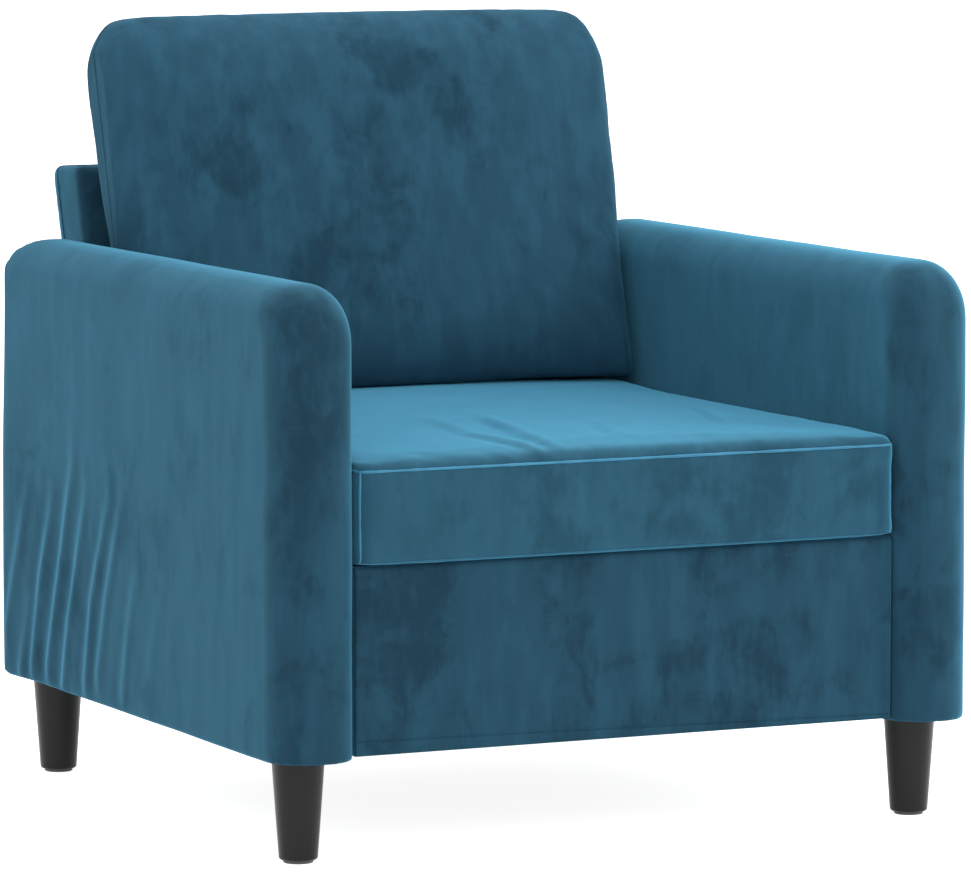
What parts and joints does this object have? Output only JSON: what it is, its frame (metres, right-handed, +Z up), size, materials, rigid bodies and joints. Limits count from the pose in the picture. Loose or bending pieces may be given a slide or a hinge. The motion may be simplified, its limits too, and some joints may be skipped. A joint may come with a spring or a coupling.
{
  "type": "upholstered armchair",
  "caption": "Upholstered club armchair in velvet with padded round-topped arms, a leaning backrest, a loose box seat cushion, a loose back cushion and tapered round legs.",
  "frame": {"origin": "on the floor under the middle of the overall box", "axes": "+X to the right seen from the front, +Y from the seat's front to the backrest, +Z up"},
  "size_m": [0.78, 0.824, 0.8133],
  "materials": {
    "velvet": "teal blue crushed velvet",
    "foam": "open-cell foam",
    "fibreboard": "pressed fibreboard",
    "timber": "planed softwood",
    "deck_cloth": "black non-woven cloth",
    "dust_cloth": "black non-woven cloth",
    "webbing": "elastic webbing",
    "zip": "coil zip",
    "leg_plastic": "satin black plastic",
    "glide": "hard plastic",
    "spring_steel": "drawn spring wire",
    "zinc_steel": "zinc plated"
  },
  "bodies": {
    "frame": {"backrest_bolt_inserts": "zinc_steel", "backrest_bolt_washers": "zinc_steel", "backrest_bolts": "zinc_steel", "backrest_bottom_rail": "timber", "backrest_cover": "velvet", "backrest_foam": "foam", "backrest_left_post": "timber", "backrest_rear_board": "fibreboard", "backrest_right_post": "timber", "backrest_top_rail": "timber", "backrest_webbing": "webbing", "corner_blocks": "timber", "deck_cloth": "deck_cloth", "deck_pad": "foam", "dust_cloth": "dust_cloth", "foot_glides": "glide", "front_rail_cover": "velvet", "front_rail_foam": "foam", "left_arm_bottom_rail": "timber", "left_arm_cover": "velvet", "left_arm_foam": "foam", "left_arm_front_post": "timber", "left_arm_inner_board": "fibreboard", "left_arm_outer_board": "fibreboard", "left_arm_rear_post": "timber", "left_arm_seat_rail": "timber", "left_arm_top_rail": "timber", "left_front_leg": "leg_plastic", "left_rear_leg": "leg_plastic", "leg_studs": "zinc_steel", "leg_tee_nuts": "zinc_steel", "right_arm_bottom_rail": "timber", "right_arm_cover": "velvet", "right_arm_foam": "foam", "right_arm_front_post": "timber", "right_arm_inner_board": "fibreboard", "right_arm_outer_board": "fibreboard", "right_arm_rear_post": "timber", "right_arm_seat_rail": "timber", "right_arm_top_rail": "timber", "right_front_leg": "leg_plastic", "right_rear_leg": "leg_plastic", "seat_bolt_inserts": "zinc_steel", "seat_bolt_washers": "zinc_steel", "seat_bolts": "zinc_steel", "seat_front_rail": "timber", "seat_left_rail": "timber", "seat_rear_rail": "timber", "seat_right_rail": "timber", "seat_springs": "spring_steel", "spring_clips": "spring_steel", "spring_front_ledger": "timber", "spring_rear_ledger": "timber"},
    "seat_cushion": {"seat_cushion_cover": "velvet", "seat_cushion_foam": "foam", "seat_cushion_zip": "zip"},
    "back_cushion": {"back_cushion_cover": "velvet", "back_cushion_filling": "foam", "back_cushion_zip": "zip"}
  },
  "joints": [
    {"name": "seat_cushion_slide", "type": "slide", "parent": "frame", "child": "seat_cushion", "axis": [0, -1, 0], "range_m": [0, 0.66]},
    {"name": "back_cushion_lift", "type": "slide", "parent": "frame", "child": "back_cushion", "axis": [0, 0, 1], "range_m": [0, 0.44]}
  ]
}
